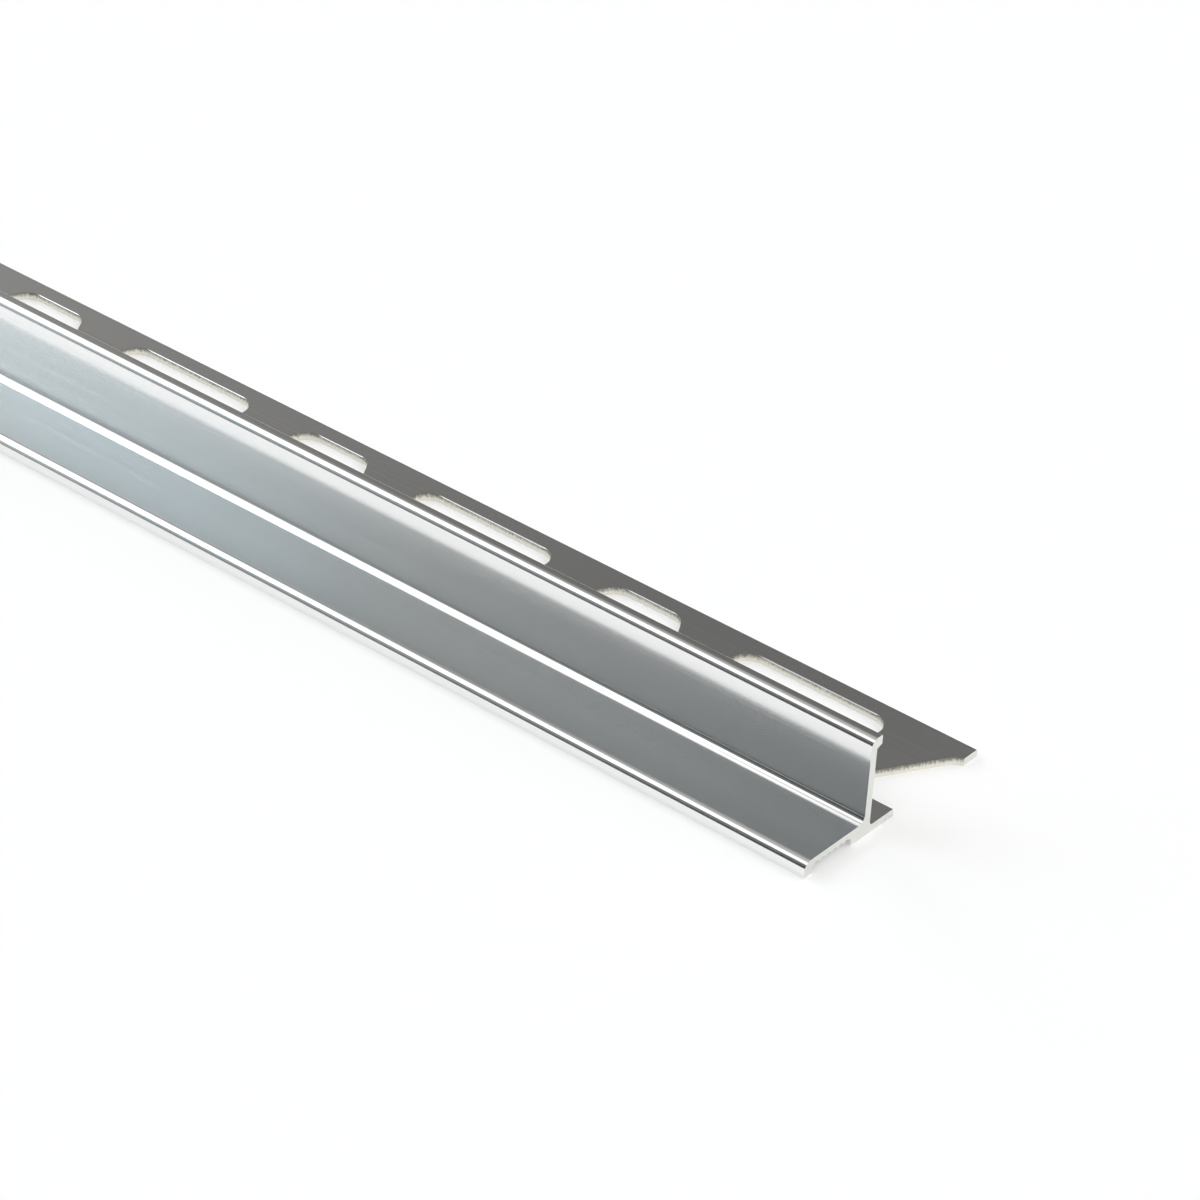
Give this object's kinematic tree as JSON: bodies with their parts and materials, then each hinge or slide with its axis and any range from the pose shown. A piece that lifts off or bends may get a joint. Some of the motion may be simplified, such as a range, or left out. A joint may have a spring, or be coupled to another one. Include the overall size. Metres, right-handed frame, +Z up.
{
  "type": "internal corner trim",
  "caption": "Extruded aluminium trim for an internal tile corner, with a slotted anchoring leg, a web with a small lipped head and a rounded front flange.",
  "frame": {"origin": "on the floor, in the middle of the length and of the width over all", "axes": "+X along the stock, +Y from the nose of the front flange to the back of the anchoring leg, +Z up to the head"},
  "size_m": [1, 0.032, 0.0128],
  "materials": {
    "polished_aluminium": "bright polished and clear anodised extrusion, with matt saw-cut ends and punched slot walls"
  },
  "bodies": {
    "root": {"corner_trim": "polished_aluminium"}
  },
  "joints": []
}
